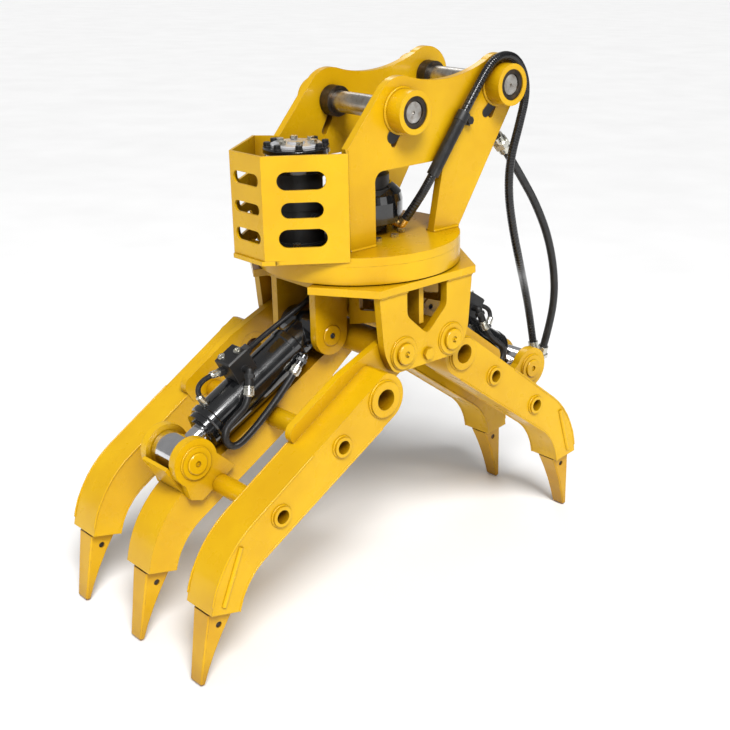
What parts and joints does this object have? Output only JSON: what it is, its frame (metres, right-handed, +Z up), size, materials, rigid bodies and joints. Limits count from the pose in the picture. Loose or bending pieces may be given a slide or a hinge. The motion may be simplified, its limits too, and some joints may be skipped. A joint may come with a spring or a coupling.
{
  "type": "rotating scrap grapple",
  "caption": "Hydraulic scrap grapple with a slewing bracket, two jaws of toothed tines, two cylinders and its oil hoses.",
  "frame": {"origin": "middle of the stick pin, on its axis", "axes": "+Z up along the slew axis, +X towards the jaw with two tines, Y along both bracket pins"},
  "size_m": [1.3879, 0.5854, 1.2754],
  "materials": {
    "bare_steel": "turned steel",
    "black_paint": "glossy black enamel",
    "brass": "brass",
    "bronze": "bearing bronze",
    "cast_black": "black cast iron",
    "chrome_rod": "hard chrome",
    "dark_steel": "dark hardened steel",
    "rubber": "smooth black hose cover",
    "yellow_paint": "glossy yellow enamel",
    "zinc": "zinc plated"
  },
  "bodies": {
    "upper_bracket": {"near_side_plate": "yellow_paint", "far_side_plate": "yellow_paint", "base_plate": "yellow_paint", "slew_skirt": "yellow_paint", "cross_plate": "yellow_paint", "pin_bosses": "yellow_paint", "pin_bushes": "dark_steel", "stick_pin": "bare_steel", "link_pin": "bare_steel", "bracket_bolts": "zinc", "motor_guard": "yellow_paint", "motor_housing": "cast_black", "motor_cover": "cast_black", "swivel_body": "cast_black", "oil_fittings": "brass", "bearing_inner_race": "bare_steel", "hose_clamp": "zinc", "hose_ends": "zinc", "supply_hose_a": "rubber", "supply_hose_b": "rubber", "swivel_hose": "rubber"},
    "drive_pinion": {"drive_pinion": "bare_steel"},
    "turntable": {"bearing_gear_ring": "bare_steel", "bearing_rollers": "bare_steel", "turntable_plate": "yellow_paint", "near_frame_plate": "yellow_paint", "far_frame_plate": "yellow_paint", "cylinder_ears": "yellow_paint", "frame_web": "yellow_paint", "tie_rod": "zinc", "pivot_pins": "yellow_paint", "cylinder_pins": "yellow_paint", "swivel_spool": "bare_steel"},
    "left_jaw": {"near_left_tine": "yellow_paint", "middle_left_tine": "yellow_paint", "far_left_tine": "yellow_paint", "left_cross_tubes": "yellow_paint", "left_teeth": "yellow_paint", "left_tooth_pins": "dark_steel", "left_rod_ears": "yellow_paint", "left_rod_pin": "yellow_paint"},
    "right_jaw": {"near_right_tine": "yellow_paint", "far_right_tine": "yellow_paint", "right_cross_tubes": "yellow_paint", "right_teeth": "yellow_paint", "right_tooth_pins": "dark_steel", "right_rod_ears": "yellow_paint", "right_rod_pin": "yellow_paint"},
    "left_barrel": {"left_barrel": "black_paint", "left_gland": "black_paint", "left_valve_block": "cast_black", "left_hoses": "rubber"},
    "left_rod": {"left_rod": "chrome_rod", "left_piston": "bronze"},
    "right_barrel": {"right_barrel": "black_paint", "right_gland": "black_paint", "right_valve_block": "cast_black", "right_hoses": "rubber"},
    "right_rod": {"right_rod": "chrome_rod", "right_piston": "bronze"}
  },
  "joints": [
    {"name": "slew", "type": "hinge", "parent": "upper_bracket", "child": "turntable", "pos_m": [-0.02, 0, -0.337], "axis": [0, 0, 1], "continuous": true},
    {"name": "pinion_spin", "type": "hinge", "parent": "upper_bracket", "child": "drive_pinion", "pos_m": [-0.195, 0, -0.34], "axis": [0, 0, 1], "continuous": true},
    {"name": "left_jaw_close", "type": "hinge", "parent": "turntable", "child": "left_jaw", "pos_m": [-0.095, 0, -0.5225], "axis": [0, -1, 0], "range_deg": [-4, 50]},
    {"name": "right_jaw_close", "type": "hinge", "parent": "turntable", "child": "right_jaw", "pos_m": [0.055, 0, -0.5225], "axis": [0, 1, 0], "range_deg": [-10.1, 43.9]},
    {"name": "left_barrel_swing", "type": "hinge", "parent": "turntable", "child": "left_barrel", "pos_m": [-0.177, 0, -0.498], "axis": [0, -1, 0], "range_deg": [-4.33, 53.55]},
    {"name": "left_rod_slide", "type": "slide", "parent": "left_barrel", "child": "left_rod", "axis": [-0.883, 0, -0.4693], "range_m": [-0.00535, 0.06572]},
    {"name": "right_barrel_swing", "type": "hinge", "parent": "turntable", "child": "right_barrel", "pos_m": [0.137, 0, -0.498], "axis": [0, 1, 0], "range_deg": [-10.76, 46.58]},
    {"name": "right_rod_slide", "type": "slide", "parent": "right_barrel", "child": "right_rod", "axis": [0.8288, 0, -0.5595], "range_m": [-0.01357, 0.05864]}
  ],
  "couplings": [
    {"joint": "pinion_spin", "follows": "slew", "ratio": -4},
    {"joint": "left_barrel_swing", "follows": "left_jaw_close", "ratio": 1.07},
    {"joint": "left_rod_slide", "follows": "left_jaw_close", "m_per_rad": 0.0752},
    {"joint": "right_barrel_swing", "follows": "right_jaw_close", "ratio": 1.06},
    {"joint": "right_rod_slide", "follows": "right_jaw_close", "m_per_rad": 0.0764}
  ]
}
